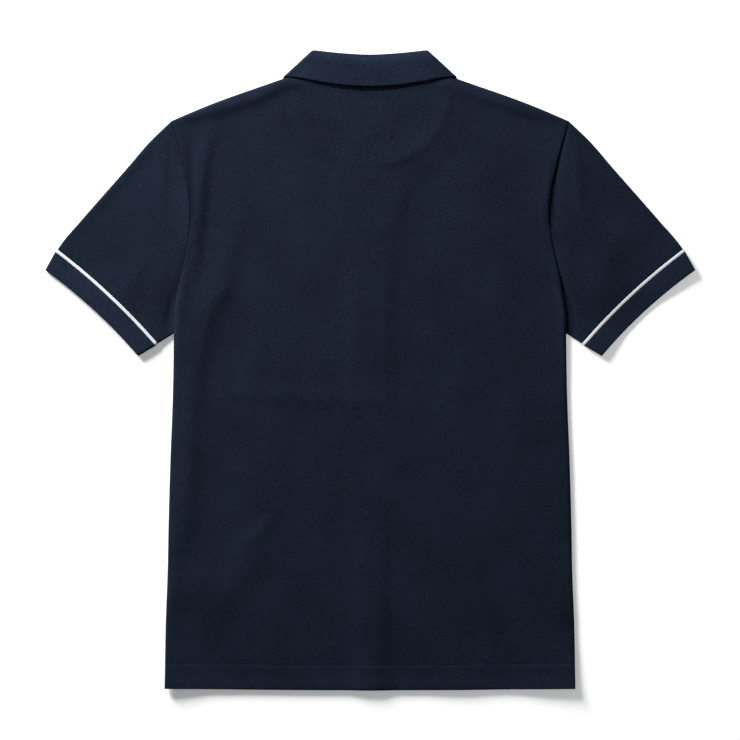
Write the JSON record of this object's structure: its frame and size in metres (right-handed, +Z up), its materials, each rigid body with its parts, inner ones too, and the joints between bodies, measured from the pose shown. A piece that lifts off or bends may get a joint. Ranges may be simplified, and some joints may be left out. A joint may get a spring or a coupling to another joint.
{
  "type": "polo shirt",
  "caption": "Short-sleeved polo shirt laid flat on its front, with a turned-over rib collar, a buttoned placket and rib cuffs with contrast piping.",
  "frame": {"origin": "middle of the shirt's outline, on the surface that it lies on", "axes": "+Z up, out of the shirt's back; +Y from the hem towards the collar; -X towards the wearer's left sleeve"},
  "size_m": [0.7668, 0.7535, 0.0097],
  "materials": {
    "navy_pique": "matte pique knit",
    "navy_rib": "matte flat rib knit",
    "white_piping": "matte plain knit",
    "navy_button": "polished"
  },
  "bodies": {
    "root": {"back_panel": "navy_pique", "front_panel": "navy_pique", "sleeve_left": "navy_pique", "sleeve_right": "navy_pique", "piping_left": "white_piping", "piping_right": "white_piping", "cuff_left": "navy_rib", "cuff_right": "navy_rib", "collar": "navy_rib", "placket_outer": "navy_pique", "placket_under": "navy_pique", "button_upper": "navy_button", "button_lower": "navy_button"}
  },
  "joints": []
}
